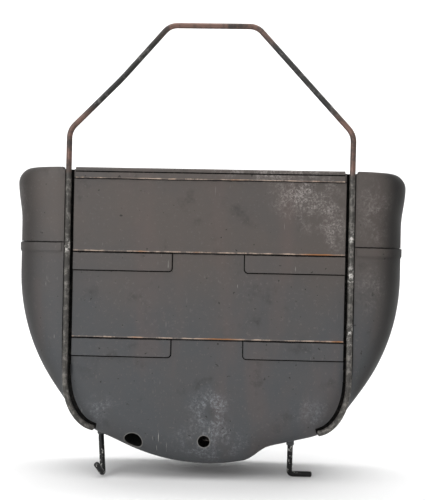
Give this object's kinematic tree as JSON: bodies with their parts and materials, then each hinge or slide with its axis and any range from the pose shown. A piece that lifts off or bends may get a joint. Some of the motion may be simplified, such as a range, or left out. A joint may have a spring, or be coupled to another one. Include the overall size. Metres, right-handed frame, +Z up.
{
  "type": "chimney charcoal starter",
  "caption": "Half-round sheet-metal charcoal starter with lapped front courses, wire carrying bail, lift-out grate and swivelling rod legs.",
  "frame": {"origin": "middle of the footprint, on the surface that the feet stand on", "axes": "+X to the viewer's right, +Y from the front panel to the back, +Z up"},
  "size_m": [0.349, 0.1162, 0.4033],
  "materials": {
    "tub_paint": "weathered dark grey paint, satin worn to matt, rusty cut edges",
    "frame_wire": "worn dark paint with brown rust and bright chips",
    "leg_wire": "black with pale chips",
    "grate_steel": "burnt, matt",
    "rivet_steel": "dull zinc"
  },
  "bodies": {
    "tub": {"bowl": "tub_paint", "collar_left": "tub_paint", "collar_right": "tub_paint", "top_course": "tub_paint", "middle_course": "tub_paint", "front_rim_hem": "tub_paint", "back_rim_hem": "tub_paint", "back_plate": "tub_paint", "back_rivet_left_1": "rivet_steel", "back_rivet_right_1": "rivet_steel", "back_rivet_left_2": "rivet_steel", "back_rivet_right_2": "rivet_steel", "wire_frame": "frame_wire", "leg_socket_left": "tub_paint", "leg_socket_right": "tub_paint", "leg_socket_rear": "tub_paint", "grate_rest_left": "grate_steel", "grate_rest_right": "grate_steel"},
    "grate": {"grate_frame": "grate_steel", "grate_bar_1": "grate_steel", "grate_bar_2": "grate_steel", "grate_bar_3": "grate_steel", "grate_bar_4": "grate_steel", "grate_bar_5": "grate_steel", "grate_bar_6": "grate_steel", "grate_bar_7": "grate_steel", "grate_bar_8": "grate_steel", "grate_bar_9": "grate_steel"},
    "leg_left_swivel_body": {"leg_left": "leg_wire", "leg_washer_left": "rivet_steel", "leg_cap_left": "rivet_steel"},
    "leg_right_swivel_body": {"leg_right": "leg_wire", "leg_washer_right": "rivet_steel", "leg_cap_right": "rivet_steel"},
    "leg_rear_swivel_body": {"leg_rear": "leg_wire", "leg_washer_rear": "rivet_steel", "leg_cap_rear": "rivet_steel"}
  },
  "joints": [
    {"name": "grate_lift", "type": "slide", "parent": "tub", "child": "grate", "axis": [0, 0, 1], "range_m": [0, 0.215]},
    {"name": "leg_left_swivel", "type": "hinge", "parent": "tub", "child": "leg_left_swivel_body", "pos_m": [-0.0944, -0.026, 0.0404], "axis": [0, 0, 1], "continuous": true},
    {"name": "leg_right_swivel", "type": "hinge", "parent": "tub", "child": "leg_right_swivel_body", "pos_m": [0.0753, -0.026, 0.0348], "axis": [0, 0, 1], "continuous": true},
    {"name": "leg_rear_swivel", "type": "hinge", "parent": "tub", "child": "leg_rear_swivel_body", "pos_m": [0, 0.0385, 0.0152], "axis": [0, 0, 1], "continuous": true}
  ]
}
